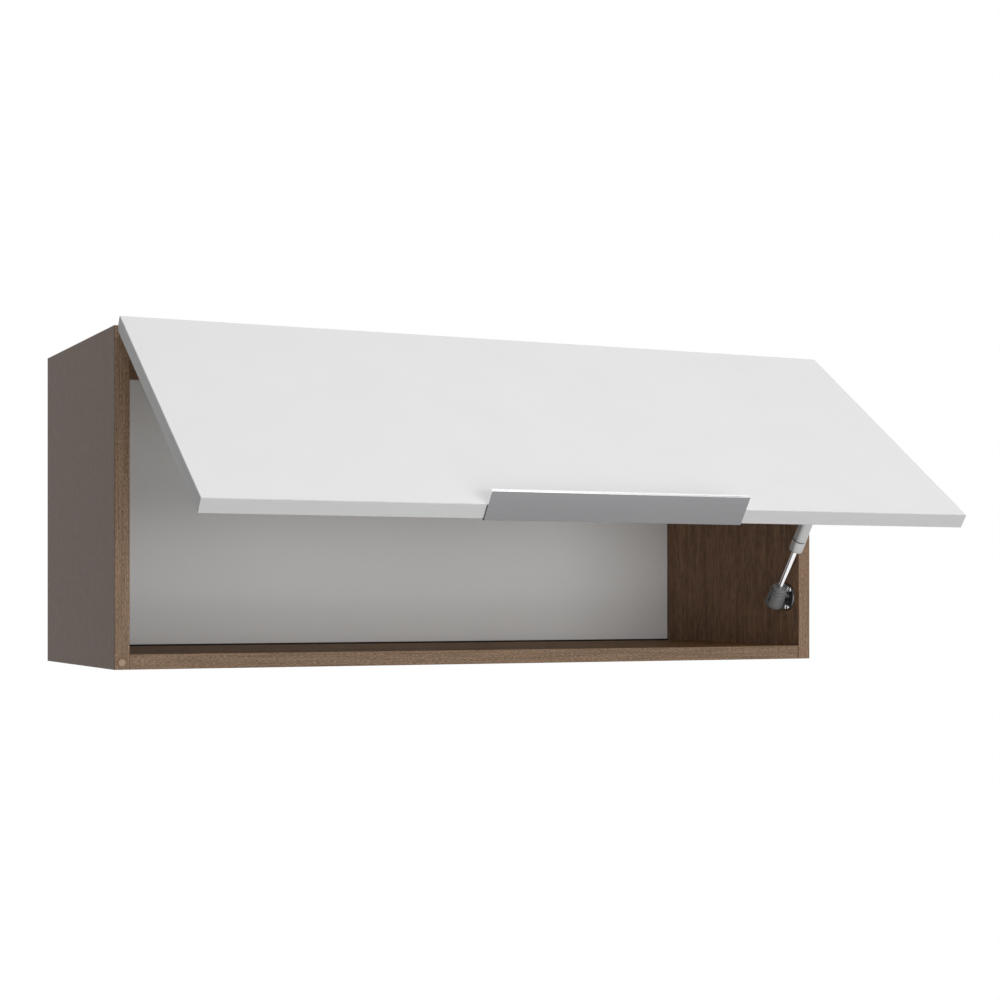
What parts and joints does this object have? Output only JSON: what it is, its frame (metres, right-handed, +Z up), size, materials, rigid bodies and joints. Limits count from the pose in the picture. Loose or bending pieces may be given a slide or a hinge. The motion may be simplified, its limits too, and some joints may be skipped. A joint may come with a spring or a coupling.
{
  "type": "lift up wall cabinet",
  "caption": "Wide wall cabinet with one lift-up flap door on top hinges, held open by a gas strut, with an edge pull along the door's bottom.",
  "frame": {"origin": "on the wall plane, midway between the two wall screw holes", "axes": "+X along the cabinet to the right seen from the front, +Y into the wall, +Z up"},
  "size_m": [0.8, 0.5814, 0.3384],
  "materials": {
    "brown_board": "walnut-print melamine on particle board, satin",
    "brown_edge": "printed PVC edge band, satin",
    "back_board": "pale painted hardboard, matt",
    "white_board": "white melamine on particle board, satin",
    "white_edge": "white PVC edge band, satin",
    "handle_aluminium": "satin anodised extrusion",
    "zinc_steel": "zinc plated pressed steel",
    "cam_zinc": "die-cast zinc",
    "screw_chrome": "bright nickel plate",
    "rod_chrome": "hard chrome, polished",
    "tube_paint": "light grey painted steel tube",
    "cap_plastic": "white moulded plastic",
    "socket_plastic": "dark grey moulded nylon",
    "plate_steel": "dark painted steel",
    "cover_plastic": "brown moulded plastic",
    "dowel_beech": "fluted beech",
    "guide_plastic": "black acetal",
    "seal_rubber": "black rubber",
    "bumper_rubber": "translucent beige polyurethane"
  },
  "bodies": {
    "carcass": {"left_side_panel": "brown_board", "right_side_panel": "brown_board", "top_panel": "brown_board", "bottom_panel": "brown_board", "back_panel": "back_board", "left_side_edge_band": "brown_edge", "right_side_edge_band": "brown_edge", "top_edge_band": "brown_edge", "bottom_edge_band": "brown_edge", "cam_locks": "cam_zinc", "cam_covers": "cover_plastic", "cam_bolts": "zinc_steel", "dowels": "dowel_beech", "back_nails": "zinc_steel", "left_hanger_bracket": "zinc_steel", "right_hanger_bracket": "zinc_steel", "hanger_screws": "screw_chrome", "left_hinge_frame_leaf": "zinc_steel", "right_hinge_frame_leaf": "zinc_steel", "left_hinge_pin": "zinc_steel", "right_hinge_pin": "zinc_steel", "hinge_frame_screws": "screw_chrome", "side_ball_plate": "plate_steel", "side_ball_stud": "screw_chrome", "side_plate_screws": "screw_chrome", "door_bumper": "bumper_rubber"},
    "door": {"door_panel": "white_board", "door_bottom_band": "white_edge", "door_top_band": "white_edge", "door_left_band": "white_edge", "door_right_band": "white_edge", "handle_profile": "handle_aluminium", "handle_screws": "screw_chrome", "left_hinge_door_leaf": "zinc_steel", "right_hinge_door_leaf": "zinc_steel", "hinge_door_screws": "screw_chrome", "door_strut_bracket": "zinc_steel", "door_bracket_screws": "screw_chrome"},
    "strut_rod": {"rod_socket": "socket_plastic", "piston_rod": "rod_chrome", "piston": "zinc_steel", "piston_ring": "seal_rubber"},
    "strut_tube": {"pressure_tube": "tube_paint", "tube_end_cap": "cap_plastic", "rod_guide": "guide_plastic", "rod_seal": "seal_rubber", "tube_end_plug": "zinc_steel", "tube_socket": "socket_plastic", "door_ball_stud": "screw_chrome"}
  },
  "joints": [
    {"name": "door_hinge", "type": "hinge", "parent": "carcass", "child": "door", "pos_m": [0, -0.295, 0.0366], "axis": [-1, 0, 0], "range_deg": [-55, 0]},
    {"name": "rod_pivot", "type": "hinge", "parent": "carcass", "child": "strut_rod", "pos_m": [0.37, -0.2725, -0.2186], "axis": [1, 0, 0], "range_deg": [-52.7, 0]},
    {"name": "rod_slide", "type": "slide", "parent": "strut_rod", "child": "strut_tube", "axis": [0, -0.5878, 0.809], "range_m": [-0.0502, 0]}
  ],
  "couplings": [
    {"joint": "rod_pivot", "follows": "door_hinge", "ratio": 0.95183},
    {"joint": "rod_slide", "follows": "door_hinge", "m_per_rad": 0.034715}
  ]
}
